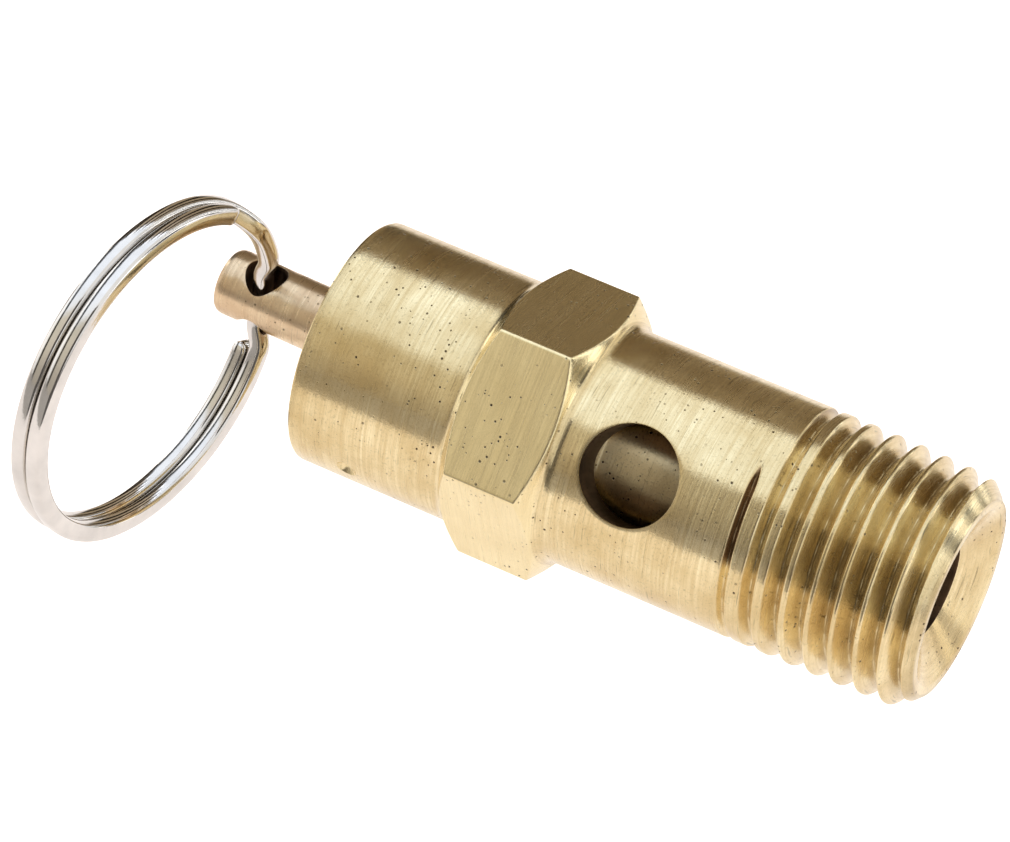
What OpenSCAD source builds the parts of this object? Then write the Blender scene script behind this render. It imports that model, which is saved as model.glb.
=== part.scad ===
// Pull-ring pressure relief valve, 1/4-18 NPT male inlet.
// Millimetres. The valve lies along X: the inlet's end face is the plane x = 0, the inlet opens
// towards +X and the pull ring is at the -X end. +Z is the normal of one wrench flat.
// Most sub-parts are drawn along a depth axis d, which starts at the inlet face and runs inwards.

/* [Inlet thread] */
// Thread pitch, 18 threads an inch
pitch = 1.411; // [1.3:0.001:1.5]
// Crest radius of the taper thread at the inlet face
crest_r = 6.53; // [6.45:0.01:6.6]
// Depth of the thread groove
thread_depth = 1.0; // [0.8:0.05:1]
// Turns of the thread's groove, from the inlet face
thread_turns = 7.83; // [7:0.01:7.9]
// Angle at which the thread starts
thread_phase = 35; // [0:5:355]

/* [Inlet passage] */
// Radius of the passage that leads to the seat
passage_r = 2.6; // [2.4:0.05:2.8]
// Radius of the countersink at the inlet's mouth
mouth_r = 5.05; // [4.8:0.05:5.2]
// Depth of the valve seat below the inlet face
seat_d = 12; // [12:0.1:12.4]

/* [Body] */
// Length of the body
body_len = 36.72; // [36.5:0.01:38]
// Radius of the lower cylinder, between thread and hexagon, to which the last crests are flush
lower_r = 6.7; // [6.6:0.01:6.75]
// Radius of the upper cylinder, the spring housing
upper_r = 6.96; // [6.8:0.01:7]
// Wrench size across the flats, 9/16 inch
hex_af = 14.29; // [14.2:0.01:14.4]
// Depth of the hexagon's lower face
hex_start = 21.69; // [21.5:0.01:22]
// Length of the hexagon
hex_len = 5.67; // [5.4:0.01:6]
// Radius of the main bore, in which the piston slides
bore_r = 4.15; // [4.1:0.01:4.2]

/* [Discharge ports] */
// Depth of the ports' axis
port_d = 17.29; // [17:0.01:17.5]
// Radius of a port
port_r = 2.75; // [2.5:0.05:2.8]
// Tilt of the ports' axis above the horizontal
port_tilt = 26.4; // [0:0.1:60]

/* [Piston and stem] */
// Radius of the piston's nose
nose_r = 3.8; // [3.75:0.01:3.85]
// Radius of the stem
stem_r = 1.88; // [1.8:0.01:1.9]
// Lean of the stem in its clearances, which raises its outer end
stem_lean = 1.3; // [0:0.1:1.3]
// Depth of the stem's outer end
stem_end = 44.65; // [44.5:0.05:46]
// Depth of the cross-hole for the split ring
eye_d = 42.2; // [42:0.01:42.5]
// Radius of the cross-hole
eye_r = 1.16; // [1.14:0.01:1.2]
// How far the cross-hole lies off the stem's axis, towards the front
eye_off = 0.5; // [0:0.05:0.5]

/* [Spring] */
// Wire diameter
wire = 1; // [0.9:0.05:1]
// Mean radius of the coils
coil_r = 3.35; // [3.3:0.01:3.4]
// Number of turns, with one closed turn at each end
turns = 6.5; // [6:0.5:6.5]

/* [Split ring] */
// Outer radius of the ring
ring_r = 10.05; // [9.8:0.05:10.1]
// Width of the flattened wire, across the ring
ring_w = 1.1; // [1:0.05:1.1]
// Thickness of one coil, along the ring's axis
ring_t = 0.95; // [0.8:0.05:0.95]
// Swing of the ring, from straight out along the stem towards the front
ring_swing = 80.5; // [0:0.5:100]

/* [Hidden] */
$fn = 96;
eps = 0.01;

// Clearances and edges
run_gap = 0.05;             // radial gap of a sliding or turning fit
thread_gap = 0.02;          // radial gap round the adjusting screw
head_side_gap = 0.08;       // radial gap of the stem's head
clip_gap = 0.1;             // radial gap between the clip and the stem
washer_gap = 0.39;          // the same at the thrust washer, where the lean moves the stem
guide_gap = 0.49;           // and at the adjusting screw, further out
coil_gap = 0.06;            // gap between the two coils of the split ring
edge = 0.15;                // chamfer on the body's outer edge and on the rubber disc
soft = 0.2;                 // chamfer on the edges of the piston and of the stem's head
past = 1;                   // how far a cutter runs past the face that it opens

// Body
taper = 1 / 32;             // growth of the thread's radius along its depth
face_r = 5.6;               // outer radius of the inlet face, inside the end chamfer
chamfer_d = 0.95;           // depth at which the end chamfer meets the crests
groove_flat = 0.04 * pitch; // half width of the flat at the bottom of the thread's groove
vanish_turns = 2.5;         // the last turns, over which the groove gets shallower
vanish = 0.5;               // and by how much
mouth_angle = 62.5;         // half angle of the countersink
mouth_d = (mouth_r - passage_r) / tan(mouth_angle);
lip_w = 0.6;                // width of the raised seat lip
lip_h = 0.8;                // height of the seat lip above the bottom of the bore
hex_face_r = 6.95;          // radius at which the hexagon's end chamfers start
hex_chamfer = 30;           // slope of the hexagon's end chamfers
hex_out_r = 9;              // a radius outside the hexagon's corners
hex_end = hex_start + hex_len;
upper_fillet = 0.6;         // radius of the fillet between the hexagon and the upper cylinder
upper_turn = 40;            // degrees of arc in that fillet
lower_fillet = 0.7;         // fillet between the hexagon and the lower cylinder
lower_turn = 50;
drill = 10;                 // half length of a drill that passes right through
tap_r = 4.76;               // major radius of the adjusting thread, 3/8-24
tap_d = 30.5;               // depth at which the adjusting thread starts
stake_d = 33.2;             // depth of the stake mark that locks the adjusting screw
stake_r = 0.66;             // radius of the mark at the top of its cutter
stake_tip_r = 0.15;         // and at its tip
stake_depth = 0.5;
stake_angle = -33.5;        // height angle of the stake mark, seen along the axis

// Piston
disc_t = 1.6;               // thickness of the rubber disc
disc_r = 3.45;
disc_proud = 0.15;          // how far the disc stands out of the piston's nose
collar_r = bore_r - run_gap;
collar_d = 20.1;            // where the guide collar starts, just past the ports
shoulder_d = 22.1;          // where the spring rests on the collar
pocket_r = 2.5;             // pocket that holds the stem's head
pocket_d = 16.4;

// Stem
head_r = pocket_r - head_side_gap;
head_t = 1.6;
head_gap = 0.1;             // end float of the stem's head in the pocket
pivot_d = pocket_d + head_gap + head_t / 2; // middle of the head, about which the stem leans
stem_edge = 0.3;            // chamfer on the stem's outer end

// Retaining clip in the piston's pocket
clip_t = 0.6;
clip_r = 2.85;
clip_d = pocket_d + head_t + 2 * head_gap;
clip_slot = 1.2;            // opening of the clip

// Spring, thrust washer and adjusting screw
washer_t = 0.6;
washer_d = 31.6;
washer_r = 4.05;
screw_d = washer_d + washer_t;
screw_end = 36.2;
screw_lead = 0.5;           // chamfer at the screw's inner end
screw_edge = 0.3;           // and at its outer end
screw_r = tap_r - thread_gap;
guide_r = stem_r + guide_gap;
slot_w = 1.3;
slot_depth = 1.1;

// Split ring
ring_mid_r = ring_r - ring_w / 2;
ring_reach = 9.65;          // distance between the cross-hole's middle and the ring's centre
ring_off = 0.17;            // how far that centre lies off the hole's middle, towards the valve
ring_sag = 0.6;             // and how far below it
ring_rock = 0.6;            // turn of the ring about the line from hole to centre
coil_step = (ring_t + coil_gap) / 2;
ring_first = 0.175;         // turn at which the wire starts, above the stem
ring_last = 1.964;          // turn at which it ends, just below the stem

brass = "#c9ad66";
bright_brass = "#d8c084";
steel = "#a9acb0";
nickel = "#c4c5c8";
rubber = "#2c2a28";

// Puts a shape drawn along +Z, the depth axis, into the valve along -X; its +X side goes to +Z
module lay() rotate([0, -90, 0]) children();

// A solid of revolution from [radius, depth] points
module lathe(points) lay() rotate_extrude() polygon(points);

// A plain round bar between two depths
module bar(r, from, to) lay() translate([0, 0, from]) cylinder(r = r, h = to - from);

// A drill across the axis at a depth, at an angle above the horizontal at the front
module cross_drill(r, depth, angle, from, to)
    translate([-depth, 0, 0]) rotate([90 - angle, 0, 0]) translate([0, 0, from])
        cylinder(r = r, h = to - from);

// Skin of a tube whose closed sections are lists of points of one length; ends are capped
module sweep(sections) {
    n = len(sections[0]);
    last = len(sections) - 1;
    polyhedron(
        points = [for (s = sections) each s],
        faces = [
            [for (k = [0 : n - 1]) k],
            for (i = [0 : last - 1], k = [0 : n - 1]) each [
                [i * n + k, (i + 1) * n + k, i * n + (k + 1) % n],
                [i * n + (k + 1) % n, (i + 1) * n + k, (i + 1) * n + (k + 1) % n]
            ],
            [for (k = [n - 1 : -1 : 0]) last * n + k]
        ]);
}

// Profile points of a fillet that rises from a cylinder of radius r to a face at a depth, over
// an arc of turn degrees; side is -1 where the cylinder lies before the face, +1 where behind it
function fillet(r, depth, size, turn, side) =
    [for (u = [0 : 10 : turn])
        [r + size * (1 - cos(u)), depth + side * size * (sin(turn) - sin(u))]];

// Crest radius of the taper thread at a depth
function crest(d) = crest_r + d * taper;

// One section of the thread's groove at an angle; lift raises it out of the metal at the run-out
function groove_section(a, d, lift) =
    let (root = crest(d) - thread_depth + lift, top = thread_depth + 0.1,
         w = groove_flat + top * tan(30))
    [for (p = [[root, groove_flat], [root + top, w], [root + top, -w], [root, -groove_flat]])
        [p[0] * cos(a), p[0] * sin(a), d + p[1]]];

// How far the groove's root lies above its full depth, with some turns left to the groove's end
function groove_lift(left) =
    let (runout = 0.08)         // at the very end the cutter leaves the metal
    max(1 - left / vanish_turns, 0) * vanish + max(1 - left / runout, 0) * (thread_depth + 0.05);

// The helical groove, right-handed, cut from the inlet face to its run-out
module thread_groove() {
    steps = 60;
    first = -1;
    count = ceil((thread_turns - first) * steps);
    lay() sweep([for (i = [0 : count])
        let (t = first + (thread_turns - first) * i / count)
        groove_section(thread_phase + 360 * t, t * pitch, groove_lift(thread_turns - t))]);
}

module body() color(brass) difference() {
    union() {
        // Tapered thread blank with its end chamfer, and the lower cylinder with its fillet
        lathe(concat([[0, 0], [face_r, 0], [crest(chamfer_d), chamfer_d],
            [lower_r, (lower_r - crest_r) / taper]],
            fillet(lower_r, hex_start, lower_fillet, lower_turn, -1),
            [[hex_face_r, hex_start + past], [0, hex_start + past]]));
        // Wrench hexagon with chamfered corners
        intersection() {
            lay() translate([0, 0, hex_start]) rotate(30)
                cylinder(d = hex_af / cos(30), h = hex_len, $fn = 6);
            let (drop = (hex_out_r - hex_face_r) * tan(hex_chamfer))
            lathe([[0, hex_start], [hex_face_r, hex_start], [hex_out_r, hex_start + drop],
                [hex_out_r, hex_end - drop], [hex_face_r, hex_end], [0, hex_end]]);
        }
        // Upper cylinder with its fillet
        lathe(concat([[0, body_len], [upper_r - edge, body_len], [upper_r, body_len - edge]],
            fillet(upper_r, hex_end, upper_fillet, upper_turn, 1),
            [[upper_r, hex_end - past], [0, hex_end - past]]));
    }
    thread_groove();
    // Countersunk inlet and passage to the seat
    lathe([[0, -past], [mouth_r + past * tan(mouth_angle), -past], [passage_r, mouth_d],
        [0, mouth_d]]);
    bar(passage_r, 0, seat_d + past);
    // Main bore, with a trough around the seat's raised lip
    bar(bore_r, seat_d, body_len + past);
    lathe([[passage_r + lip_w, seat_d + eps], [passage_r + lip_w, seat_d - lip_h],
        [bore_r, seat_d - lip_h], [bore_r, seat_d + eps]]);
    // Tapped end for the adjusting screw
    lathe([[bore_r - eps, tap_d - (tap_r - bore_r)], [tap_r, tap_d], [tap_r, body_len + past],
        [bore_r - eps, body_len + past]]);
    // Discharge ports, drilled straight across
    cross_drill(port_r, port_d, port_tilt, -drill, drill);
    // Stake mark
    translate([-stake_d, 0, 0]) rotate([90 - stake_angle, 0, 0])
        translate([0, 0, upper_r - stake_depth])
        cylinder(r1 = stake_tip_r, r2 = stake_r, h = stake_depth + 0.1);
}

module seal_disc() color(rubber)
    lathe([[0, seat_d], [disc_r - edge, seat_d], [disc_r, seat_d + edge],
        [disc_r, seat_d + disc_t], [0, seat_d + disc_t]]);

module piston() color(bright_brass) difference() {
    nose = seat_d + disc_proud;
    lathe([[0, nose], [nose_r - soft, nose], [nose_r, nose + soft], [nose_r, collar_d - soft],
        [collar_r, collar_d], [collar_r, shoulder_d - soft], [collar_r - soft, shoulder_d],
        [0, shoulder_d]]);
    // Recess for the rubber disc
    bar(disc_r, nose - past, seat_d + disc_t);
    // Pocket for the stem's head, with a groove for the clip
    bar(pocket_r, pocket_d, shoulder_d + past);
    bar(clip_r, clip_d, clip_d + clip_t);
}

module stem_clip() color(steel) difference() {
    bar(clip_r, clip_d, clip_d + clip_t);
    bar(stem_r + clip_gap, clip_d - past, clip_d + clip_t + past);
    translate([-clip_d - clip_t - past, -clip_slot / 2, 0])
        cube([clip_t + 2 * past, clip_slot, clip_r + past]);
}

// Height of the spring's wire at a turn t: closed end turns, evenly pitched between
function coil_rise(t, span) =
    let (free = span - 2 * wire, s = min(max((t - 1) / (turns - 2), 0), 1))
    wire * min(t, 1) + free * s + wire * max(t - turns + 1, 0);

module spring() color(steel) {
    steps = 24;
    sides = 8;
    tilt = 0.04;                // gap that keeps neighbouring closed turns apart
    from = shoulder_d + wire / 2 + tilt;
    span = washer_d - shoulder_d - wire - 2 * tilt;
    r = wire / 2 - tilt;
    lay() sweep([for (i = [0 : turns * steps])
        let (t = i / steps, a = 360 * t, z = from + coil_rise(t, span))
        [for (k = [0 : sides - 1])
            let (b = -360 * k / sides, q = coil_r + r * cos(b))
            [q * cos(a), q * sin(a), z + r * sin(b)]]]);
}

module spring_washer() color(steel)
    let (hole_r = stem_r + washer_gap)
    lathe([[hole_r, washer_d], [washer_r, washer_d], [washer_r, screw_d], [hole_r, screw_d]]);

module adjusting_screw() color(bright_brass) difference() {
    lathe([[0, screw_d], [screw_r - screw_lead, screw_d], [screw_r, screw_d + screw_lead],
        [screw_r, screw_end - screw_edge], [screw_r - screw_edge, screw_end], [0, screw_end]]);
    bar(guide_r, screw_d - past, screw_end + past);
    // Screwdriver slot across the outer face
    translate([-screw_end - past, -slot_w / 2, -drill])
        cube([slot_depth + past, slot_w, 2 * drill]);
}

// Leans a shape with the stem
module lean() translate([-pivot_d, 0, 0]) rotate([0, stem_lean, 0]) translate([pivot_d, 0, 0])
    children();

module stem() color(brass) lean() difference() {
    head = pocket_d + head_gap;
    lathe([[0, head], [head_r - soft, head], [head_r, head + soft], [head_r, head + head_t],
        [stem_r, head + head_t], [stem_r, stem_end - stem_edge], [stem_r - stem_edge, stem_end],
        [0, stem_end]]);
    // Cross-hole for the split ring
    translate([-eye_d, -eye_off, -drill]) cylinder(r = eye_r, h = 2 * drill);
}

// Rises smoothly from 0 to 1 as t goes through a span
function rise(t, from, span) = let (s = min(max((t - from) / span, 0), 1)) s * s * (3 - 2 * s);

// Axial place of the split ring's wire at a turn t of its two: it comes to the middle where it
// passes through the stem, goes back, and steps across to the other coil
function coil_side(t) =
    let (through = 0.1, after = -0.4)
    -coil_step + (through + coil_step) * rise(t, 0.963, 0.025)
        + (after - through) * rise(t, 1.04, 0.03) + (coil_step - after) * rise(t, 1.11, 0.06);

// The split ring: two flat coils of one wire, with its ends on either side of the stem
module split_ring() color(nickel) {
    fine_from = 0.95;           // the wire is drawn in shorter steps between these turns
    fine_to = 1.19;
    step = 1 / 72;
    fine = 1 / 240;
    c = 0.25;                   // corner of the wire's section
    u = ring_w / 2;
    v = ring_t / 2;
    section = [[u, -v + c], [u, v - c], [u - c, v], [c - u, v], [-u, v - c], [-u, c - v],
        [c - u, -v], [u - c, -v]];
    turns_at = [for (t = [ring_first : step : fine_from]) t,
        for (t = [fine_from + fine : fine : fine_to]) t,
        for (t = [fine_to + step : step : ring_last - step / 2]) t, ring_last];
    lean() translate([-eye_d, -eye_off, 0]) rotate(ring_swing)
        translate([-ring_reach, -ring_off, -ring_sag]) rotate([ring_rock, 0, 0])
        sweep([for (t = turns_at)
            let (a = 360 * t)
            [for (p = section) let (q = ring_mid_r + p[0])
                [q * cos(a), p[1] + coil_side(t), q * sin(a)]]]);
}

body();
seal_disc();
piston();
stem_clip();
spring();
spring_washer();
adjusting_screw();
stem();
split_ring();
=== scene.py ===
import math

import bpy
from mathutils import Matrix, Vector


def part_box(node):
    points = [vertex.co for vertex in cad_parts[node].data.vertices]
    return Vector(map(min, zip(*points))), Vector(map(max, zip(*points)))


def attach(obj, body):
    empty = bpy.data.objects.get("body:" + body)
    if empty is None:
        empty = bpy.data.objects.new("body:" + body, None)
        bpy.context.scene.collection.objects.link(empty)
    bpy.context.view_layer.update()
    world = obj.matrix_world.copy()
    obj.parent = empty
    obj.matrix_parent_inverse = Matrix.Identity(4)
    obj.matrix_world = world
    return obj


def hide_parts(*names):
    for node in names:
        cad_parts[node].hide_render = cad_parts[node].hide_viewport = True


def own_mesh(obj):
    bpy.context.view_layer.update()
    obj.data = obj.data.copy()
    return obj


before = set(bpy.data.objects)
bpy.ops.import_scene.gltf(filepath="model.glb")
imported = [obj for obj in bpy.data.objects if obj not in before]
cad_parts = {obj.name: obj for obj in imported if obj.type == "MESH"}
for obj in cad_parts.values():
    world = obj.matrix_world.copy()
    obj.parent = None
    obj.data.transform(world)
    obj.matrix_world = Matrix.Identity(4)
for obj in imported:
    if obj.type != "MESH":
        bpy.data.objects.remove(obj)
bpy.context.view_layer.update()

# Lengths are in millimetres and depths run from the inlet face into the valve, along -X.
# Angles round the axis are in degrees, from the front (-Y) upwards.
MM = 0.001
BODY_LEN = -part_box("body")[0].x / MM

# Inlet thread
PITCH = 1.411
TAPER = 1 / 32
CREST_R = 6.53
THREAD_DEPTH = 1.0
THREAD_END = 11.1
THREAD_ANGLE = 125          # where a groove crosses the inlet face
THREAD_TURNS = 7.83         # turns of groove
VANISH_TURNS = 2.5          # the groove gets shallower over its last turns
FACE_R = 5.6
CHAMFER_D = 0.95

# Bore and seat
PASSAGE_R = 2.6
MOUTH_R = 5.05
MOUTH_D = 1.275
SEAT_D = 12
LIP_R = 3.2
LIP_H = 0.8
BORE_R = 4.15
TAP_R = 4.76
TAP_D = 30.5

# Outside of the body
LOWER_R = 6.7
UPPER_R = 6.96
FLAT = 14.29 / 2
HEX_FACE_R = 6.95
HEX_FROM = 21.69
HEX_TO = 27.36
HEX_EDGE = 0.22             # radius of the rounded edges between the flats
CHAMFER_SLOPE = math.tan(math.radians(30))
PORT_D = 17.29
PORT_R = 2.75
PORT_ANGLE = 26.4
STAKE_D = 33.2
STAKE_R = 0.56
STAKE_ANGLE = -33.6

# Piston, stem and ring
COLLAR_R = 4.1
NOSE_R = 3.8
DISC_R = 3.45
SHOULDER_D = 22.1
HEAD_D = 16.5
CLIP_D = 18.2
STEM_R = 1.88
STEM_END = 44.65
STEM_LEAN = 1.3             # the stem leans in its clearances, outer end up,
PIVOT_D = 17.3              # about the middle of its head
EYE_D = 42.2
EYE_R = 1.16
EYE_OFF = 0.5               # the eye lies off the stem's axis, towards the front
WASHER_D = 31.6
SCREW_D = 32.2
SCREW_END = 36.2
RING_R = 10.05
RING_W = 1.1
RING_T = 0.95
RING_SWING = 80.5
RING_ROCK = 0.6
RING_CENTRE = (-9.65, -0.17, -0.6)  # from the middle of the eye, before the swing


# ---------------------------------------------------------------- mesh building

def finish_mesh(name, verts, faces, sharp=35):
    """A piece from points in millimetres, smooth but for edges sharper than an angle."""
    used = sorted({i for f in faces for i in f})
    place = {old: new for new, old in enumerate(used)}
    mesh = bpy.data.meshes.new(name)
    mesh.from_pydata(
        [Vector(verts[i]) * MM for i in used], [], [[place[i] for i in f] for f in faces]
    )
    mesh.validate()
    mesh.polygons.foreach_set("use_smooth", [True] * len(mesh.polygons))
    mesh.set_sharp_from_angle(angle=math.radians(sharp))
    piece = bpy.data.objects.new(name, mesh)
    bpy.context.scene.collection.objects.link(piece)
    return piece


def at(radius, depth, angle):
    """The point at a radius, depth and angle round the valve's axis."""
    a = math.radians(angle)
    return (-depth, -radius * math.cos(a), radius * math.sin(a))


class Shell:
    """A skin round the valve's axis: rows of points, with holes cut where drills go in."""

    def __init__(self, columns, first_angle=0.0):
        self.columns = columns
        self.step = 360 / columns
        self.first_angle = first_angle
        self.verts = []
        self.faces = []
        self.rows = []
        self.cut = set()
        # Faces inside the holes and bore, which take a dark brass that paints their shade
        self.hole_shade = []
        self.hole_shade_rows = (0, 0)

    def angle(self, j):
        return self.first_angle + self.step * j

    def row(self, radius, depth, angles=None):
        """Adds a row; radius and depth are numbers, or functions of the angle."""
        start = len(self.verts)
        for j in range(self.columns):
            a = self.angle(j) if angles is None else angles(j)
            r = radius(a) if callable(radius) else radius
            d = depth(a) if callable(depth) else depth
            self.verts.append(at(r, d, a))
        self.rows.append([start + j for j in range(self.columns)])
        return len(self.rows) - 1

    def profile(self, points):
        for radius, depth in points:
            self.row(radius, depth)

    def loop(self, i0, i1, j0, j1):
        """The border of a block of cells, as vertices in order round it."""
        n = self.columns
        cells = [(i0, j) for j in range(j0, j1)] + [(i, j1) for i in range(i0, i1)]
        cells += [(i1, j) for j in range(j1, j0, -1)] + [(i, j0) for i in range(i1, i0, -1)]
        self.cut |= {(i, j % n) for i in range(i0, i1) for j in range(j0, j1)}
        return [self.rows[i][j % n] for i, j in cells]

    def patch(self, loop, centre_d, angle, surface_r, rings, off=0.0):
        """Fills the space inside a loop with rings (radius, sink) about a drill's centre.

        A ring lies on the cylinder of surface_r, pushed in by sink; the drill may run off the
        valve's axis. Returns the last ring.
        """
        a = math.radians(angle)
        out = Vector((0, -math.cos(a), math.sin(a)))
        side = Vector((0, math.sin(a), math.cos(a)))
        spots = []
        for i in loop:
            v = Vector(self.verts[i])
            spots.append((-v.x - centre_d, v.dot(side) - off))
        turns = [math.atan2(t, s) for s, t in spots]
        reach = max(r for r, _ in rings)
        last = loop
        spread = [(0.55, None), (0.25, None)] + list(rings)
        for radius, sink in spread:
            ring = []
            for (s0, t0), turn in zip(spots, turns):
                if sink is None:
                    s = s0 * radius + reach * math.cos(turn) * (1 - radius)
                    t = t0 * radius + reach * math.sin(turn) * (1 - radius)
                    deep = 0.0
                else:
                    s, t, deep = radius * math.cos(turn), radius * math.sin(turn), sink
                t += off
                height = math.sqrt(max(surface_r ** 2 - t * t, 0)) - deep
                ring.append(len(self.verts))
                self.verts.append(tuple(Vector((-centre_d - s, 0, 0)) + side * t + out * height))
            self.join(last, ring)
            last = ring
        return last

    def join(self, a, b):
        """Faces between two loops of one length."""
        n = len(a)
        for k in range(n):
            self.faces.append((a[k], a[(k + 1) % n], b[(k + 1) % n], b[k]))

    def wall(self, a, b, steps):
        """The straight wall of a hole a drill cuts, between two loops, in equal steps; its faces take
        the dark brass of painted shade.
        """
        start = len(self.faces)
        last = a
        for step in range(1, steps):
            ring = []
            for i, j in zip(a, b):
                ring.append(len(self.verts))
                v = Vector(self.verts[i]).lerp(Vector(self.verts[j]), step / steps)
                self.verts.append(tuple(v))
            self.join(last, ring)
            last = ring
        self.join(last, b)
        # The wall's faces take the dark brass of painted shade
        self.hole_shade += range(start, len(self.faces))

    def cap(self, loop, point):
        """A fan that closes a loop on one point."""
        tip = len(self.verts)
        self.verts.append(point)
        n = len(loop)
        for k in range(n):
            self.faces.append((loop[k], loop[(k + 1) % n], tip))

    def build(self, name, ring_shaped, sharp=35):
        """The piece: rows joined in order, and the last to the first if ring_shaped."""
        n = self.columns
        pairs = list(zip(self.rows, self.rows[1:]))
        if ring_shaped:
            pairs.append((self.rows[-1], self.rows[0]))
        for i, (low, high) in enumerate(pairs):
            for j in range(n):
                if (i, j) not in self.cut:
                    # Rows inside the bore take the dark brass of painted shade
                    if self.hole_shade_rows[0] <= i < self.hole_shade_rows[1]:
                        self.hole_shade.append(len(self.faces))
                    k = (j + 1) % n
                    self.faces.append((low[j], low[k], high[k], high[j]))
        piece = finish_mesh(name, self.verts, self.faces, sharp)
        # Faces inside the holes and bore take the second material, dark brass that paints their shade
        for i in self.hole_shade:
            piece.data.polygons[i].material_index = 1
        face_outwards(piece)
        return piece


def face_outwards(piece):
    """Turns the faces of a closed piece so that they look out."""
    import bmesh
    bm = bmesh.new()
    bm.from_mesh(piece.data)
    bmesh.ops.recalc_face_normals(bm, faces=bm.faces)
    bm.to_mesh(piece.data)
    bm.free()


def turned(name, points, columns=96, sharp=35):
    """A solid of revolution from (radius, depth) points.

    Points that start and end on the axis make a solid bar, others a ring.
    """
    shell = Shell(columns)
    solid = points[0][0] == 0
    inner = points[1:-1] if solid else points
    shell.profile(inner)
    if solid:
        shell.cap(shell.rows[0], at(0, points[0][1], 0))
        shell.cap(shell.rows[-1], at(0, points[-1][1], 0))
    return shell.build(name, not solid, sharp)


def edged(points, cut, closed=False):
    """An outline whose corners are each cut back by a small chamfer."""
    out = []
    n = len(points)
    for k, p in enumerate(points):
        if not closed and k in (0, n - 1):
            out.append(p)
            continue
        here = Vector(p)
        before = Vector(points[k - 1])
        after = Vector(points[(k + 1) % n])
        a = before - here
        b = after - here
        if a.angle(b) > math.radians(150):
            out.append(p)
            continue
        out.append(tuple(here + a.normalized() * min(cut, a.length / 3)))
        out.append(tuple(here + (a.normalized() + b.normalized()) * min(cut, a.length / 3) * 0.28))
        out.append(tuple(here + b.normalized() * min(cut, b.length / 3)))
    return out


def swept(name, sections, sharp=50):
    """A closed bar through sections, which are loops of one length."""
    n = len(sections[0])
    verts = [p for s in sections for p in s]
    faces = []
    for i in range(len(sections) - 1):
        for k in range(n):
            m = (k + 1) % n
            faces.append((i * n + k, i * n + m, (i + 1) * n + m, (i + 1) * n + k))
    for base in (0, (len(sections) - 1) * n):
        tip = len(verts)
        middle = sum((Vector(verts[base + k]) for k in range(n)), Vector()) / n
        verts.append(tuple(middle))
        for k in range(n):
            faces.append((base + k, base + (k + 1) % n, tip))
    piece = finish_mesh(name, verts, faces, sharp)
    face_outwards(piece)
    return piece


def smooth_step(x):
    x = min(max(x, 0.0), 1.0)
    return x * x * (3 - 2 * x)


# ---------------------------------------------------------------- the brass body

def soft_max(a, b, size):
    """The larger of two numbers, rounded off where they meet."""
    h = max(size - abs(a - b), 0) / size
    return max(a, b) + h * h * size / 4


def thread_radius(angle, depth):
    """Surface of the taper thread: a right-hand V groove, less the end chamfer and run-out."""
    blank = -soft_max(-LOWER_R, -CREST_R - TAPER * depth, 0.02)
    across = depth / PITCH - (angle - THREAD_ANGLE) / 360
    groove = round(across)
    off = abs(across - groove) * PITCH
    # Turns of the groove left before it runs out
    left = THREAD_TURNS - (groove + (angle - THREAD_ANGLE) / 360)
    deep = THREAD_DEPTH - 0.5 * min(max(1 - left / VANISH_TURNS, 0), 1)
    deep *= smooth_step(left / 0.06)
    floor = CREST_R + TAPER * depth - deep
    flank = floor + soft_max(off - 0.05, 0, 0.06) / math.tan(math.radians(30))
    surface = -soft_max(-blank, -flank, 0.07)
    chamfer = FACE_R + depth * (CREST_R + TAPER * CHAMFER_D - FACE_R) / CHAMFER_D
    return -soft_max(-surface, -chamfer, 0.05)


def hex_angle(shell, j):
    """Angle of a column on the hexagon: columns crowd together at its edges."""
    side = shell.columns // 6
    corner = round((60 - shell.first_angle) / shell.step)
    k, m = divmod(j - corner + side // 2, side)
    m -= side // 2
    return 60 * (k + 1) + math.copysign(30 * (abs(m) / (side // 2)) ** 1.9, m)


def hex_radius(angle):
    """Radius of the hexagon with rounded edges; edges lie at whole multiples of 60 degrees."""
    from_edge = (angle + 30) % 60 - 30
    middle = (FLAT - HEX_EDGE) / math.cos(math.radians(30))
    touch = math.degrees(math.atan((FLAT - HEX_EDGE) * math.tan(math.radians(30)) / FLAT))
    if abs(from_edge) > 30 - touch:
        return FLAT / math.cos(math.radians(30 - abs(from_edge)))
    s = middle * math.sin(math.radians(from_edge))
    return middle * math.cos(math.radians(from_edge)) + math.sqrt(HEX_EDGE ** 2 - s * s)


def hex_rows(shell):
    """The hexagon: chamfer cones at both ends, small breaks, and the flats between."""
    def near(r):
        return HEX_FROM + (r - HEX_FACE_R) * CHAMFER_SLOPE

    def far(r):
        return HEX_TO - (r - HEX_FACE_R) * CHAMFER_SLOPE

    def angles(j):
        return hex_angle(shell, j)

    brk = 0.05
    shell.row(HEX_FACE_R, HEX_FROM)
    for share in (0.35, 0.7):
        shell.row(lambda a, s=share: HEX_FACE_R + (hex_radius(a) - HEX_FACE_R) * s,
                  lambda a, s=share: near(HEX_FACE_R + (hex_radius(a) - HEX_FACE_R) * s), angles)
    shell.row(lambda a: hex_radius(a) - brk, lambda a: near(hex_radius(a) - brk), angles)
    shell.row(lambda a: hex_radius(a) - brk * 0.25, lambda a: near(hex_radius(a)) + 0.006, angles)
    shell.row(hex_radius, lambda a: near(hex_radius(a)) + brk * 0.8, angles)
    for share in (0.03, 0.25, 0.5, 0.75, 0.97):
        def depth(a, s=share):
            r = hex_radius(a)
            return near(r) + (far(r) - near(r)) * s
        shell.row(hex_radius, depth, angles)
    shell.row(hex_radius, lambda a: far(hex_radius(a)) - brk * 0.8, angles)
    shell.row(lambda a: hex_radius(a) - brk * 0.25, lambda a: far(hex_radius(a)) - 0.006, angles)
    shell.row(lambda a: hex_radius(a) - brk, lambda a: far(hex_radius(a) - brk), angles)


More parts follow.
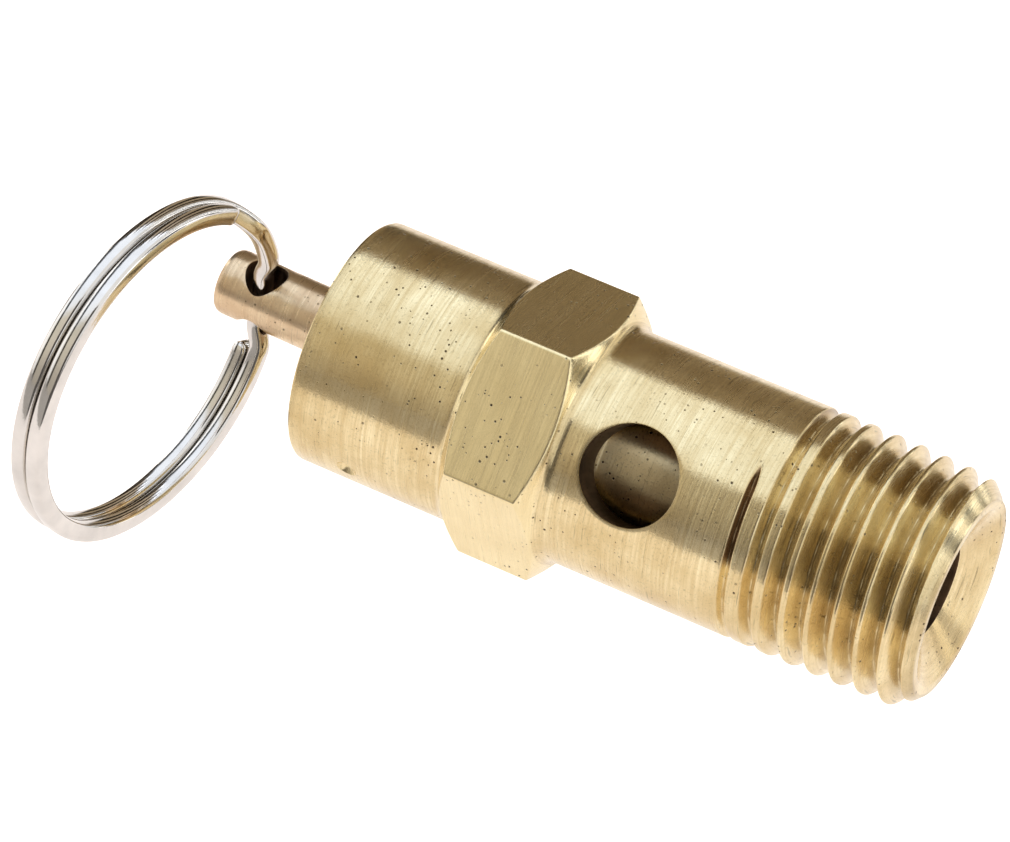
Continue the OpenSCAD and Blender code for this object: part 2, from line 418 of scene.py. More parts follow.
def fillet(radius, depth, size, turn, side):
    """Profile of a fillet from a cylinder up to a face at a depth."""
    out = []
    steps = 8
    for k in range(steps + 1):
        u = math.radians(turn * k / steps)
        rise = size * (1 - math.cos(u))
        out.append((radius + rise, depth + side * size * (math.sin(math.radians(turn)) - math.sin(u))))
    return out


def even(a, b, n):
    """n + 1 evenly spaced numbers from a to b."""
    return [a + (b - a) * k / n for k in range(n + 1)]


def port_block(shell, depth_rows, radius):
    """Adds the rows of a cylinder where the ports pass, and returns their numbers."""
    rows = [shell.row(radius, d) for d in depth_rows]
    return rows[0], rows[-1]


def make_body():
    columns = 192
    shell = Shell(columns, PORT_ANGLE)
    rim = 0.06
    # Inlet face, threads and lower cylinder
    shell.profile([(MOUTH_R + 0.03, 0.0), (FACE_R - 0.03, 0.0)])
    thread_step = 0.05
    for k in range(int((THREAD_END + 0.4) / thread_step)):
        d = 0.01 + k * thread_step
        shell.row(lambda a, d=d: thread_radius(a, d), d)
    shell.profile([(LOWER_R, 11.8), (LOWER_R, 12.6)])
    half = columns // 8                 # a port's block is a quarter turn wide
    port_reach = 3.84
    port_rows = even(PORT_D - port_reach, PORT_D + port_reach, 2 * half)
    outer = port_block(shell, port_rows, LOWER_R)
    shell.profile(fillet(LOWER_R, HEX_FROM, 0.7, 50, -1)[:-1])
    hex_rows(shell)
    shell.profile(list(reversed(fillet(UPPER_R, HEX_TO, 0.6, 38, 1))))
    # Spring housing with the stake mark
    stake_half, stake_reach = 5, 1.15
    shell.profile([(UPPER_R, d) for d in even(28.2, STAKE_D - stake_reach, 6)[:-1]])
    stake = port_block(shell, even(STAKE_D - stake_reach, STAKE_D + stake_reach, 2 * stake_half),
                       UPPER_R)
    shell.profile([(UPPER_R, d) for d in even(34.6, BODY_LEN - 0.16, 4)])
    shell.profile([(UPPER_R - 0.02, BODY_LEN - 0.09), (UPPER_R - 0.06, BODY_LEN - 0.03),
                   (UPPER_R - 0.15, BODY_LEN), (5.9, BODY_LEN), (TAP_R + 0.3, BODY_LEN),
                   (TAP_R + 0.24, BODY_LEN - 0.03), (TAP_R, BODY_LEN - 0.28)])
    # Inside, from the top down to the seat and out through the passage
    shell.profile([(TAP_R, SCREW_D), (TAP_R, TAP_D), (BORE_R, TAP_D - 0.61), (BORE_R, 26.0)])
    bore_row = len(shell.rows)
    inner = port_block(shell, list(reversed(port_rows)), BORE_R)
    shell.profile([(BORE_R, SEAT_D), (BORE_R, SEAT_D - LIP_H + 0.1), (BORE_R - 0.1, SEAT_D - LIP_H),
                   (LIP_R + 0.1, SEAT_D - LIP_H), (LIP_R, SEAT_D - LIP_H + 0.1),
                   (LIP_R, SEAT_D - 0.08), (LIP_R - 0.08, SEAT_D), (PASSAGE_R + 0.08, SEAT_D),
                   (PASSAGE_R, SEAT_D - 0.08)])
    shell.profile([(PASSAGE_R, d) for d in even(11, MOUTH_D + 0.1, 6)])
    shell.profile([(PASSAGE_R + 0.03, MOUTH_D)])
    # The bore, seat and passage take the dark brass of painted shade
    shell.hole_shade_rows = (bore_row, len(shell.rows) - 1)
    mouth_rings = 10
    for k in range(1, mouth_rings + 1):
        share = k / mouth_rings
        shell.row(PASSAGE_R + 0.06 + (MOUTH_R - 0.03 - PASSAGE_R - 0.06) * share,
                  (MOUTH_D - 0.03) * (1 - share) + 0.02 * share)
    # Ports, right through both walls
    for turn in (0, columns // 2):
        angle = PORT_ANGLE + turn * shell.step
        block = shell.loop(outer[0], outer[1], turn - half, turn + half)
        top = shell.patch(block, PORT_D, angle, LOWER_R,
                          [(PORT_R + 0.25, 0), (PORT_R + rim, 0), (PORT_R + rim * 0.3, rim * 0.25),
                           (PORT_R, rim)])
        block = shell.loop(inner[0], inner[1], turn - half, turn + half)
        # The inner block's rows run the other way, so its loop is turned to start level
        block = block[2 * half::-1] + block[:2 * half:-1]
        low = shell.patch(block, PORT_D, angle, BORE_R,
                          [(PORT_R + rim, 0), (PORT_R + rim * 0.3, -rim * 0.25),
                           (PORT_R, -rim)])
        # Match the two rims by their turn about the drill's axis
        shell.wall(top, match_loop(shell, top, low), 6)
    # Stake mark
    stake_col = round((STAKE_ANGLE - PORT_ANGLE) / shell.step)
    block = shell.loop(stake[0], stake[1], stake_col - stake_half, stake_col + stake_half)
    end = shell.patch(block, STAKE_D, shell.angle(stake_col), UPPER_R,
                      [(STAKE_R + 0.25, 0), (STAKE_R + 0.12, -0.02), (STAKE_R + 0.04, -0.01),
                       (STAKE_R, 0.04), (STAKE_R * 0.7, 0.22), (STAKE_R * 0.4, 0.36),
                       (STAKE_R * 0.15, 0.42)])
    shell.cap(end, at(UPPER_R - 0.43, STAKE_D, shell.angle(stake_col)))
    return shell.build("valve_body", True, 40)


def match_loop(shell, a, b):
    """Loop b, turned and if need be reversed so that its points lie under those of a."""
    n = len(a)
    first = Vector(shell.verts[a[0]])
    quarter = Vector(shell.verts[a[n // 4]])

    def flat_gap(i, v):
        w = Vector(shell.verts[i]) - v
        return w.x ** 2 + (w.y * math.sin(math.radians(PORT_ANGLE))
                           + w.z * math.cos(math.radians(PORT_ANGLE))) ** 2

    start = min(range(n), key=lambda k: flat_gap(b[k], first))
    forward = [b[(start + k) % n] for k in range(n)]
    backward = [b[(start - k) % n] for k in range(n)]
    return min((forward, backward), key=lambda c: flat_gap(c[n // 4], quarter))


# ---------------------------------------------------------------- the other pieces

def lean(point):
    """Leans a point with the stem."""
    pivot = Vector((-PIVOT_D, 0, 0))
    turn = Matrix.Rotation(math.radians(STEM_LEAN), 3, "Y")
    return tuple(pivot + turn @ (Vector(point) - pivot))


def make_stem():
    """The pull stem: headed bar with a cross-hole and a rounded outer end."""
    columns = 128
    shell = Shell(columns, 90)
    head = HEAD_D
    shell.profile([(1.0, head), (2.2, head), (2.42, head + 0.2), (2.42, head + 1.55),
                   (2.37, head + 1.6), (STEM_R + 0.05, head + 1.6), (STEM_R, head + 1.65)])
    shell.profile([(STEM_R, d) for d in even(20, 40, 8)])
    half = columns // 5
    reach = 1.72
    block_rows = port_block(shell, even(EYE_D - reach, EYE_D + reach, 2 * half), STEM_R)
    shell.profile([(STEM_R, STEM_END - 0.45), (STEM_R - 0.02, STEM_END - 0.33),
                   (STEM_R - 0.07, STEM_END - 0.2), (STEM_R - 0.16, STEM_END - 0.09),
                   (STEM_R - 0.3, STEM_END - 0.02), (STEM_R - 0.45, STEM_END), (1.0, STEM_END),
                   (0.4, STEM_END)])
    rim = 0.07
    rims = []
    for turn in (0, columns // 2):
        block = shell.loop(block_rows[0], block_rows[1], turn - half, turn + half)
        rims.append(shell.patch(block, EYE_D, 90 + turn * shell.step, STEM_R,
                                [(EYE_R + rim, 0), (EYE_R + rim * 0.3, rim * 0.3), (EYE_R, rim)],
                                EYE_OFF if turn else -EYE_OFF))
    n = len(rims[0])
    target = [Vector(shell.verts[i]).xy for i in rims[0]]
    other = rims[1]
    start = min(range(n), key=lambda k: (Vector(shell.verts[other[k]]).xy - target[0]).length)
    turns = [[other[(start + s * k) % n] for k in range(n)] for s in (1, -1)]
    best = min(turns, key=lambda c: (Vector(shell.verts[c[n // 4]]).xy - target[n // 4]).length)
    shell.wall(rims[0], best, 8)
    shell.cap(shell.rows[0], at(0, head, 0))
    shell.cap(shell.rows[-1], at(0, STEM_END, 0))
    shell.verts = [lean(p) for p in shell.verts]
    return shell.build("pull_stem", False, 40)


def make_piston():
    """The disc holder: a nose round the rubber, a collar that slides, and the clip's groove."""
    nose = SEAT_D + 0.15
    outline = [(DISC_R, SEAT_D + 1.6), (DISC_R, nose), (NOSE_R, nose), (NOSE_R, 20.0),
               (COLLAR_R, 20.15), (COLLAR_R, SHOULDER_D), (2.5, SHOULDER_D),
               (2.5, CLIP_D + 0.6), (2.85, CLIP_D + 0.6), (2.85, CLIP_D), (2.5, CLIP_D),
               (2.5, 16.4)]
    closed = [(0, SEAT_D + 1.6)] + edged(outline, 0.12) + [(0, 16.4)]
    return turned("disc_holder", closed, 128)


def make_seal():
    """The rubber disc in the piston's nose."""
    r = DISC_R - 0.02
    outline = [(0, SEAT_D), (r, SEAT_D), (r, SEAT_D + 1.6), (0, SEAT_D + 1.6)]
    return turned("rubber_disc", edged(outline, 0.18), 96)


def make_washer():
    """The thrust washer between the spring and the screw."""
    outline = [(2.27, WASHER_D), (4.05, WASHER_D), (4.05, SCREW_D - 0.01), (2.27, SCREW_D - 0.01)]
    return turned("thrust_washer", edged(outline, 0.1, True), 96)


def make_clip():
    """The retaining clip: a flat open ring with square-cut ends."""
    low, high = 1.98, 2.83
    sections = []
    gap = math.degrees(0.62 / 2.4)
    for k in range(97):
        a = 90 + gap + (360 - 2 * gap) * k / 96
        box = [(low, CLIP_D + 0.02), (high, CLIP_D + 0.02), (high, CLIP_D + 0.58),
               (low, CLIP_D + 0.58)]
        sections.append([at(r, d, a) for r, d in edged(box, 0.06, True)])
    return swept("retaining_clip", sections)


def make_screw():
    """The adjusting screw: a guide hole, a slot across its face and a chamfered rim."""
    r = TAP_R - 0.02
    outline = [(2.37, SCREW_D), (r - 0.5, SCREW_D), (r, SCREW_D + 0.5), (r, SCREW_END - 0.3),
               (r - 0.3, SCREW_END), (2.37, SCREW_END)]
    screw = turned("adjusting_screw_slotted", edged(outline, 0.08, True), 128)
    slot_w, slot_depth = 1.3, 1.1
    cutter = box_mesh("slot", (-SCREW_END - 1, -slot_w / 2, -6),
                      (-SCREW_END + slot_depth, slot_w / 2, 6))
    tool = screw.modifiers.new("slot", "BOOLEAN")
    tool.operation = "DIFFERENCE"
    tool.object = cutter
    tool.solver = "EXACT"
    apply_modifiers(screw)
    bpy.data.objects.remove(cutter)
    screw.data.set_sharp_from_angle(angle=math.radians(35))
    return screw


def box_mesh(name, low, high):
    """A box between two corners."""
    x0, y0, z0 = low
    x1, y1, z1 = high
    verts = [(x, y, z) for x in (x0, x1) for y in (y0, y1) for z in (z0, z1)]
    faces = [(0, 1, 3, 2), (4, 6, 7, 5), (0, 4, 5, 1), (2, 3, 7, 6), (0, 2, 6, 4), (1, 5, 7, 3)]
    piece = finish_mesh(name, verts, faces)
    face_outwards(piece)
    return piece


def apply_modifiers(piece):
    """Makes a piece's modifiers part of its mesh."""
    bpy.context.view_layer.update()
    shape = piece.evaluated_get(bpy.context.evaluated_depsgraph_get())
    mesh = bpy.data.meshes.new_from_object(shape)
    piece.modifiers.clear()
    piece.data = mesh


def make_spring():
    """The compression spring: closed end turns, ground flat where they bear."""
    wire, coil_r, turns, steps, sides = 0.48, 3.35, 6.5, 48, 14
    low = SHOULDER_D + 0.55
    span = WASHER_D - 0.55 - low
    sections = []
    for k in range(int(turns * steps) + 1):
        t = k / steps
        free = span - 2
        rise = min(t, 1) + free * min(max((t - 1) / (turns - 2), 0), 1) + max(t - turns + 1, 0)
        section = []
        for m in range(sides):
            b = 2 * math.pi * m / sides
            depth = low + rise + wire * math.sin(b)
            depth = min(max(depth, SHOULDER_D + 0.02), WASHER_D - 0.02)
            section.append(at(coil_r + wire * math.cos(b), depth, 90 - 360 * t))
        sections.append(section)
    return swept("coil_spring", sections)


def ring_side(t):
    """Axial place of the ring's wire at a turn t: it comes to the middle where it passes
    through the stem, goes back, and steps across to the other coil."""
    half = (RING_T + 0.06) / 2
    through, after = 0.1, -0.4
    return (-half + (through + half) * smooth_step((t - 0.963) / 0.025)
            + (after - through) * smooth_step((t - 1.04) / 0.03)
            + (half - after) * smooth_step((t - 1.11) / 0.06))


def make_ring():
    """The split ring: one flattened wire in two coils, with rounded ends."""
    first, last, steps = 0.175, 1.964, 240
    middle_r = RING_R - RING_W / 2
    swing = Matrix.Rotation(math.radians(RING_SWING), 3, "Z")
    rock = Matrix.Rotation(math.radians(RING_ROCK), 3, "X")
    side = 20
    count = int((last - first) * steps)
    tip = 0.5
    sections = []
    for k in range(count + 1):
        t = first + (last - first) * k / count
        # Distance to the nearer end, for rounding the tips
        gap = min(t - first, last - t) * 2 * math.pi * middle_r
        swell = math.sqrt(max(1 - (1 - min(gap / tip, 1)) ** 2, 0.04))
        # The section stays square to the wire where the wire steps sideways
        slope = math.atan((ring_side(t + 0.001) - ring_side(t - 0.001))
                          / (0.002 * 2 * math.pi * middle_r))
        section = []
        for m in range(side):
            b = 2 * math.pi * m / side
            c, s = math.cos(b), math.sin(b)
            u = RING_W / 2 * math.copysign(abs(c) ** 0.6, c) * (0.55 + 0.45 * swell)
            v = RING_T / 2 * math.copysign(abs(s) ** 0.6, s) * swell
            a = 2 * math.pi * t - v * math.sin(slope) / middle_r
            r = middle_r + u
            p = rock @ Vector((r * math.cos(a), v * math.cos(slope) + ring_side(t), r * math.sin(a)))
            p = swing @ (p + Vector(RING_CENTRE)) + Vector((-EYE_D, -EYE_OFF, 0))
            section.append(lean(p))
        sections.append(section)
    return swept("split_ring_coils", sections)


# ---------------------------------------------------------------- materials

class Paint:
    """A material's node tree, with short calls for the nodes it uses."""

    def __init__(self, name):
        self.material = bpy.data.materials.new(name)
        self.material.use_nodes = True
        self.tree = self.material.node_tree
        self.shader = self.tree.nodes["Principled BSDF"]
        self.place = self.node("ShaderNodeTexCoord").outputs["Object"]

    def node(self, kind, **settings):
        made = self.tree.nodes.new(kind)
        for key, value in settings.items():
            setattr(made, key, value)
        return made

    def link(self, out, into):
        self.tree.links.new(out, into)

    def stretch(self, scale):
        """The place on the piece, scaled for a texture with that many cells a metre."""
        made = self.node("ShaderNodeMapping")
        made.inputs["Scale"].default_value = scale
        self.link(self.place, made.inputs["Vector"])
        return made.outputs["Vector"]

    def noise(self, scale, detail=3, roughness=0.6):
        made = self.node("ShaderNodeTexNoise")
        made.inputs["Scale"].default_value = 1
        made.inputs["Detail"].default_value = detail
        made.inputs["Roughness"].default_value = roughness
        self.link(self.stretch(scale), made.inputs["Vector"])
        return made.outputs["Fac"]

    def cells(self, scale):
        made = self.node("ShaderNodeTexVoronoi")
        made.inputs["Scale"].default_value = 1
        self.link(self.stretch(scale), made.inputs["Vector"])
        return made

    def span(self, value, low, high, to_low=0.0, to_high=1.0):
        made = self.node("ShaderNodeMapRange")
        self.link(value, made.inputs["Value"])
        for key, number in (("From Min", low), ("From Max", high), ("To Min", to_low),
                            ("To Max", to_high)):
            made.inputs[key].default_value = number
        return made.outputs["Result"]

    def maths(self, kind, a, b):
        made = self.node("ShaderNodeMath", operation=kind)
        for k, value in enumerate((a, b)):
            if isinstance(value, (int, float)):
                made.inputs[k].default_value = value
            else:
                self.link(value, made.inputs[k])
        return made.outputs[0]

    def mix(self, share, a, b):
        made = self.node("ShaderNodeMix", data_type="RGBA")
        self.link(share, made.inputs["Factor"])
        for key, value in (("A", a), ("B", b)):
            socket = [s for s in made.inputs if s.name == key and s.type == "RGBA"][0]
            if isinstance(value, tuple):
                socket.default_value = (*value, 1)
            else:
                self.link(value, socket)
        return [s for s in made.outputs if s.type == "RGBA"][0]

    def bump(self, height, strength, distance):
        made = self.node("ShaderNodeBump")
        made.inputs["Strength"].default_value = strength
        made.inputs["Distance"].default_value = distance
        self.link(height, made.inputs["Height"])
        self.link(made.outputs["Normal"], self.shader.inputs["Normal"])


def pits_in(p, scale, share, size):
    """Small round pits: a pit sits in a cell only where the cell's random number is high."""
    cell = p.cells((scale, scale, scale))
    pick = p.node("ShaderNodeSeparateColor")
    p.link(cell.outputs["Color"], pick.inputs["Color"])
    radius = p.span(pick.outputs["Red"], 1 - share, 1.0, 0.3 * size, size)
    pit = p.span(p.maths("SUBTRACT", radius, cell.outputs["Distance"]), -0.03, 0.04)
    return p.maths("MULTIPLY", pit, p.span(pick.outputs["Red"], 1 - share, 1.01 - share))


def brass(name, light, dark, roughness, lines=1.0, pits=1.0, threads=False):
    """Turned brass: tool lines round the axis, tarnish clouds, scratches and dark pits."""
    p = Paint(name)
    p.shader.inputs["Metallic"].default_value = 1
    # Fine turning grooves blur a reflection along the axis only
    p.shader.inputs["Anisotropic"].default_value = 0.85
    p.shader.inputs["Anisotropic Rotation"].default_value = 0.25
    round_axis = p.node("ShaderNodeTangent", direction_type="RADIAL", axis="X")
    p.link(round_axis.outputs["Tangent"], p.shader.inputs["Tangent"])
    fine = p.noise((9000, 220, 220), 3)
    wide = p.noise((2600, 90, 90), 3)
    clouds = p.noise((260, 260, 260), 4)
    scratch = p.span(p.noise((9000, 420, 420), 2), 0.66, 0.72)
    grit = p.noise((7000, 7000, 7000), 2)
    # Pits lie thickest where the clouds of a second noise are thick
    patches = p.span(p.noise((170, 170, 170), 2), 0.42, 0.6)
    pit = p.maths("MAXIMUM", pits_in(p, 1500, 0.3, 0.11),
                  p.maths("MULTIPLY", pits_in(p, 3600, 0.25, 0.28), patches))
    tone = p.mix(p.span(clouds, 0.35, 0.68), light, dark)
    streak = p.mix(p.span(wide, 0.3, 0.75, 0.0, 0.5 * lines), tone, dark)
    streak = p.mix(p.span(fine, 0.38, 0.66, 0.0, 0.6 * lines), streak, dark)
    deep = tuple(c * 0.35 for c in dark)
    streak = p.mix(p.maths("MULTIPLY", scratch, 0.5 * lines), streak, deep)
    streak = p.mix(p.span(grit, 0.55, 0.8, 0.0, 0.4 * pits), streak, deep)
    if threads:
        # Painted shade darkens the thread's groove towards its root, mottled by the clouds
        axes = p.node("ShaderNodeSeparateXYZ")
        p.link(p.place, axes.inputs[0])
        radius = p.maths("SQRT", p.maths("ADD", p.maths("POWER", axes.outputs["Y"], 2.0),
                                         p.maths("POWER", axes.outputs["Z"], 2.0)), 0.0)
        crest = p.span(axes.outputs["X"], 0.0, -0.0108, CREST_R * MM, LOWER_R * MM)
        low = p.maths("SUBTRACT", crest, radius)
        inside = p.span(axes.outputs["X"], -0.0118, -0.0117)
        inside = p.maths("MULTIPLY", inside, p.span(radius, 0.0054, 0.0055))
        groove_shade = p.maths("MULTIPLY", p.span(low, 0.0003, 0.0009, 0.0, 0.4), inside)
        groove_shade = p.maths("MULTIPLY", groove_shade, p.span(clouds, 0.3, 0.6, 0.4, 1.0))
        streak = p.mix(groove_shade, streak, (0.20, 0.13, 0.06))
        # Painted shade darkens the last, shallowing turns of the groove on their upper side
        last = p.maths("MULTIPLY", p.span(axes.outputs["X"], -0.0098, -0.0102), inside)
        last = p.maths("MULTIPLY", last, p.span(axes.outputs["Z"], 0.0003, 0.0010))
        last = p.maths("MULTIPLY", last, p.span(low, 0.00002, 0.00008, 0.0, 0.85))
        streak = p.mix(last, streak, (0.24, 0.14, 0.07))
        # The hexagon's milled flats are cleaner
        streak = p.mix(p.span(radius, 0.00700, 0.00708, 0.0, 0.6), streak, (0.98, 0.84, 0.50))
    spotted = p.mix(p.maths("MULTIPLY", pit, 0.9 * pits), streak, (0.05, 0.03, 0.015))
    p.link(spotted, p.shader.inputs["Base Color"])
    rough = p.span(fine, 0.3, 0.7, roughness - 0.05, roughness + 0.08)
    rough = p.maths("ADD", rough, p.maths("MULTIPLY", pit, 0.3))
    p.link(rough, p.shader.inputs["Roughness"])
    height = p.maths("ADD", p.maths("MULTIPLY", fine, 0.6 * lines),
                     p.maths("MULTIPLY", wide, 0.9 * lines))
    height = p.maths("ADD", height, p.maths("MULTIPLY", grit, 0.35 * pits))
    height = p.maths("SUBTRACT", height, p.maths("MULTIPLY", pit, 1.2 * pits))
    p.bump(height, 0.4, 0.00003)
    return p.material


def plated(name, colour, roughness):
    """Bright nickel plate over wire: fine draw lines and faint dulling."""
    p = Paint(name)
    p.shader.inputs["Metallic"].default_value = 1
    dull = p.noise((420, 420, 420), 3)
    grain = p.noise((5000, 5000, 5000), 2)
    tone = p.mix(p.span(dull, 0.3, 0.75), colour, tuple(c * 0.8 for c in colour))
    p.link(tone, p.shader.inputs["Base Color"])
    p.link(p.span(dull, 0.3, 0.8, roughness, roughness + 0.12), p.shader.inputs["Roughness"])
    p.bump(grain, 0.12, 0.00002)
    return p.material


def rubber(name):
    """Matt black rubber."""
    p = Paint(name)
    grain = p.noise((6000, 6000, 6000), 3)
    tone = p.mix(p.span(grain, 0.3, 0.7), (0.03, 0.028, 0.026), (0.055, 0.05, 0.045))
    p.link(tone, p.shader.inputs["Base Color"])
    p.link(p.span(grain, 0.3, 0.7, 0.55, 0.75), p.shader.inputs["Roughness"])
    p.bump(grain, 0.3, 0.00003)
    return p.material


def matt(name, light, glow):
    """A matt surface of the studio, which glows a little, with a faint grain."""
    p = Paint(name)
    grain = p.noise((60, 60, 60), 3)
    p.link(p.mix(grain, tuple(c * 0.98 for c in light), light), p.shader.inputs["Base Color"])
    p.link(p.span(grain, 0.3, 0.7, 0.8, 0.9), p.shader.inputs["Roughness"])
    p.shader.inputs["Specular IOR Level"].default_value = 0.1
    p.shader.inputs["Emission Color"].default_value = (*light, 1)
    p.shader.inputs["Emission Strength"].default_value = glow
    return p.material


# ---------------------------------------------------------------- stage, light and camera

# In metres
FLOOR_Z = -0.085
FLOOR_SIZE = 1.5
FLOOR_EDGE = FLOOR_Z / math.tan(math.radians(23.6))  # where the grey card ends
CARD_AWAY = 0.1             # the black card in front, from the valve's axis
CARD_FROM = -0.032
CARD_TO = 0.03


def sheet(name, corners, material, seen=True):
    """A flat rectangle of the stage; a card that isn't seen shows only in reflections."""
    mesh = bpy.data.meshes.new(name)
    mesh.from_pydata(corners, [], [(0, 1, 2, 3)])
    mesh.materials.append(material)
    flat = bpy.data.objects.new(name, mesh)
    bpy.context.scene.collection.objects.link(flat)
    flat.visible_camera = seen
    flat.visible_shadow = seen


def level(near, far, z, left=-FLOOR_SIZE):
    """The corners of a level rectangle from y = near to y = far, and from x = left on."""
    return [(left, near, z), (FLOOR_SIZE, near, z), (FLOOR_SIZE, far, z), (left, far, z)]


def make_floor():
    """A pale floor, and the cards that give the brass its grey and peach reflections."""
    over = FLOOR_Z + 0.001
    sheet("floor", level(-FLOOR_SIZE, FLOOR_SIZE, FLOOR_Z), matt("pale_floor", (0.82,) * 3, 0.51))
    sheet("grey_card", level(-FLOOR_SIZE, FLOOR_EDGE, over), matt("grey_card", (0.28, 0.26, 0.24), 0.5),
          seen=False)
    sheet("peach_card", level(FLOOR_EDGE, FLOOR_SIZE, over),
          matt("peach_card", (0.68, 0.63, 0.60), 0.51), seen=False)
    # Black cards lie and stand in front of the threaded end
    black = matt("black_card", (0.07, 0.065, 0.06), 0.6)
    sheet("low_card", level(-FLOOR_SIZE, FLOOR_EDGE, over + 0.001, CARD_FROM), black, seen=False)
    low, high = math.radians(-8), math.radians(45)
    corners = [(x, -CARD_AWAY * math.cos(a), CARD_AWAY * math.sin(a))
               for x, a in ((CARD_FROM, low), (CARD_TO, low), (CARD_TO, high), (CARD_FROM, high))]
    sheet("front_card", corners, black, seen=False)


def area_light(name, spot, target, size, power):
    """A square lamp at a spot, aimed at a target, that reflections don't show."""
    light = bpy.data.lights.new(name, "AREA")
    light.shape = "SQUARE"
    light.size = size
    light.energy = power
    lamp = bpy.data.objects.new(name, light)
    lamp.location = spot
    aim = Vector(target) - Vector(spot)
    lamp.rotation_euler = aim.to_track_quat("-Z", "Y").to_euler()
    lamp.visible_glossy = False
    bpy.context.scene.collection.objects.link(lamp)


# What surrounds the valve, by the angle round its axis: 0 is the front, 90 straight up
STUDIO = (
    (-90, (0.44, 0.40, 0.34)),
    (-5, (0.46, 0.415, 0.35)),
    (8, (0.54, 0.49, 0.41)),
    (20, (0.71, 0.65, 0.54)),
    (41, (0.75, 0.70, 0.59)),
    (50, (1.06, 1.11, 1.18)),
    (66, (1.12, 1.21, 1.36)),
    (113, (1.16, 1.24, 1.38)),
    (120, (0.29, 0.24, 0.18)),
    (130, (0.28, 0.23, 0.17)),
    (145, (0.20, 0.155, 0.105)),
    (180, (0.20, 0.155, 0.10)),
)

# How bright the room is along the valve's axis, from behind the ring to beyond the inlet
ENDS = ((-1.0, 1.25), (-0.80, 1.25), (-0.76, 0.06), (-0.67, 0.06), (-0.60, 1.0), (1.0, 1.0))


def make_world():
    """A soft studio: a wide soft box overhead, grey in front and a dark room behind."""
    world = bpy.data.worlds.new("studio")
    bpy.context.scene.world = world
    world.use_nodes = True
    tree = world.node_tree

    def maths(kind, *values):
        made = tree.nodes.new("ShaderNodeMath")
        made.operation = kind
        for socket, value in zip(made.inputs, values):
            if isinstance(value, (int, float)):
                socket.default_value = value
            else:
                tree.links.new(value, socket)
        return made.outputs[0]

    def ramp(value, points):
        made = tree.nodes.new("ShaderNodeValToRGB")
        tree.links.new(value, made.inputs["Fac"])
        stops = made.color_ramp.elements
        while len(stops) < len(points):
            stops.new(1.0)
        for stop, (where, colour) in zip(stops, points):
            stop.position = where
            stop.color = (*colour, 1)
        return made.outputs["Color"]

    place = tree.nodes.new("ShaderNodeTexCoord")
    axes = tree.nodes.new("ShaderNodeSeparateXYZ")
    tree.links.new(place.outputs["Generated"], axes.inputs[0])
    along = axes.outputs["X"]
    turn = maths("ARCTAN2", axes.outputs["Z"], maths("MULTIPLY", axes.outputs["Y"], -1.0))
    share = maths("DIVIDE", maths("ADD", turn, math.pi / 2), 1.5 * math.pi)
    around = ramp(share, [((a + 90) / 270, colour) for a, colour in STUDIO])
    # The room is bright all round at both ends
    bright = tree.nodes.new("ShaderNodeMix")
    bright.data_type = "RGBA"
    first, second = [s for s in bright.inputs if s.type == "RGBA"]
    second.default_value = (0.98, 0.98, 0.98, 1)
    tree.links.new(around, first)
    beyond = maths("MULTIPLY", maths("SUBTRACT", maths("ABSOLUTE", maths("ADD", along, 0.3)), 0.4),
                   5.0)
    tree.links.new(maths("MINIMUM", maths("MAXIMUM", beyond, 0.0), 1.0), bright.inputs["Factor"])
    colour = [s for s in bright.outputs if s.type == "RGBA"][0]
    tree.links.new(colour, tree.nodes["Background"].inputs["Color"])
    # Dark uprights stand behind the valve, too narrow for the brushed brass to show
    upright = maths("GREATER_THAN", maths("SINE", maths("MULTIPLY", along, 30.0)), 0.0)
    behind = maths("GREATER_THAN", turn, math.radians(112))
    uprights = maths("SUBTRACT", 1.9, maths("MULTIPLY", upright, 1.8))
    part = maths("ADD", maths("MULTIPLY", behind, uprights), maths("SUBTRACT", 1.0, behind))
    ends = ramp(maths("MULTIPLY", maths("ADD", along, 1.0), 0.5),
                [((x + 1) / 2, (level,) * 3) for x, level in ENDS])
    strength = maths("MULTIPLY", ends, part)
    tree.links.new(strength, tree.nodes["Background"].inputs["Strength"])


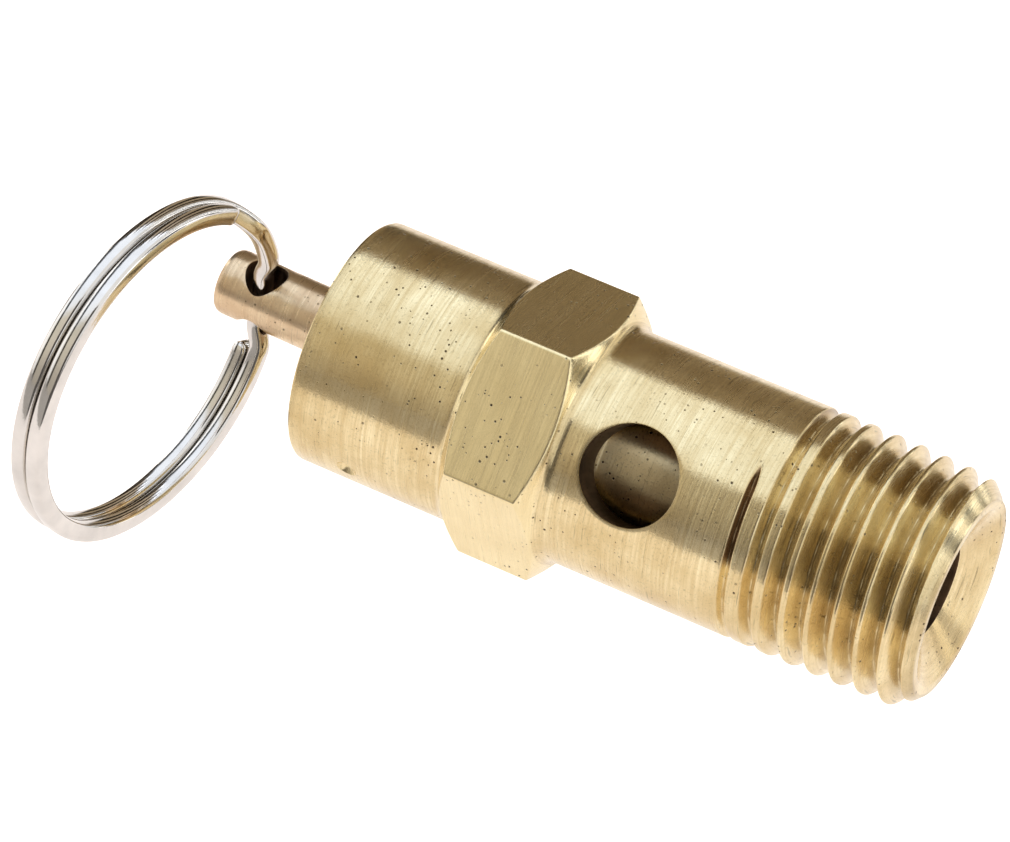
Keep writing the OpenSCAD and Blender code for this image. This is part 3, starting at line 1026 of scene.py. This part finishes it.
def make_camera():
    """The camera looks at the valve's middle, from its front, right and above."""
    azimuth, elevation, roll = (math.radians(a) for a in (21.455, 32.09, 11.186))
    middle = Vector((-20, 0, 0))
    right_off, up_off, distance = 6.285, -1.866, 273.553
    back = Vector((math.sin(azimuth) * math.cos(elevation),
                   -math.cos(azimuth) * math.cos(elevation), math.sin(elevation)))
    level = (-back).cross(Vector((0, 0, 1))).normalized()
    lift = level.cross(-back)
    right = level * math.cos(roll) + lift * math.sin(roll)
    up = lift * math.cos(roll) - level * math.sin(roll)
    camera = bpy.data.cameras.new("camera")
    camera.lens = 182.27
    camera.sensor_width = 36
    camera.clip_start = 0.01
    eye = bpy.data.objects.new("camera", camera)
    spot = (middle - right * right_off - up * up_off + back * distance) * MM
    eye.matrix_world = Matrix.Translation(spot) @ Matrix((right, up, back)).transposed().to_4x4()
    bpy.context.scene.collection.objects.link(eye)
    bpy.context.scene.camera = eye


# ---------------------------------------------------------------- assembly

def fit(piece, node, body, slot, *materials):
    """Puts a detailed piece in the place of its CAD node."""
    for material in materials:
        piece.data.materials.append(material)
    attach(piece, body)
    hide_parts(node)
    return piece


make_camera()
make_floor()
make_world()
area_light("overhead", (-0.1, 0.1, 1.1), (-0.02, 0.15, 0.0), 1.6, 6)

body_brass = brass("turned_brass", (1.0, 0.87, 0.55), (0.68, 0.52, 0.26), 0.21, threads=True)
# Dark brass that paints the shade inside the holes, bore and passage
hole_shade = brass("hole_shade_brass", (0.20, 0.12, 0.065), (0.045, 0.028, 0.018), 0.4, 0.6, 1.0)
stem_brass = brass("stem_brass", (1.0, 0.84, 0.58), (0.70, 0.51, 0.32), 0.3, 0.8, 0.8)
inner_brass = brass("inner_brass", (0.90, 0.74, 0.44), (0.66, 0.50, 0.26), 0.25, 1.0, 0.8)
# The piston's brass is painted lighter than the body's, standing in for light that reaches it through
# the ports; its heavier pits are wear
worn_and_lit_brass = brass("worn_and_lit_brass", (1.0, 0.89, 0.60), (0.88, 0.70, 0.40), 0.42, 0.8, 1.6)
nickel = plated("nickel_plate", (0.82, 0.79, 0.75), 0.06)
steel = plated("spring_steel", (0.62, 0.62, 0.61), 0.2)

fit(make_body(), "body", "housing", "brass_body", body_brass, hole_shade)
fit(make_screw(), "adjusting_screw", "housing", "brass_screw", inner_brass)
fit(make_washer(), "spring_washer", "housing", "washer_steel", steel)
spring = fit(make_spring(), "spring", "housing", "spring_steel", steel)
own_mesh(spring)
fit(make_piston(), "piston", "disc_holder", "brass_piston", worn_and_lit_brass)
fit(make_seal(), "seal_disc", "disc_holder", "rubber_seal", rubber("seal_rubber"))
fit(make_clip(), "stem_clip", "disc_holder", "clip_steel", steel)
fit(make_stem(), "stem", "pull_stem", "brass_stem", stem_brass, hole_shade)
fit(make_ring(), "split_ring", "ring", "ring_plating", nickel)

bpy.context.scene.view_settings.view_transform = "Standard"
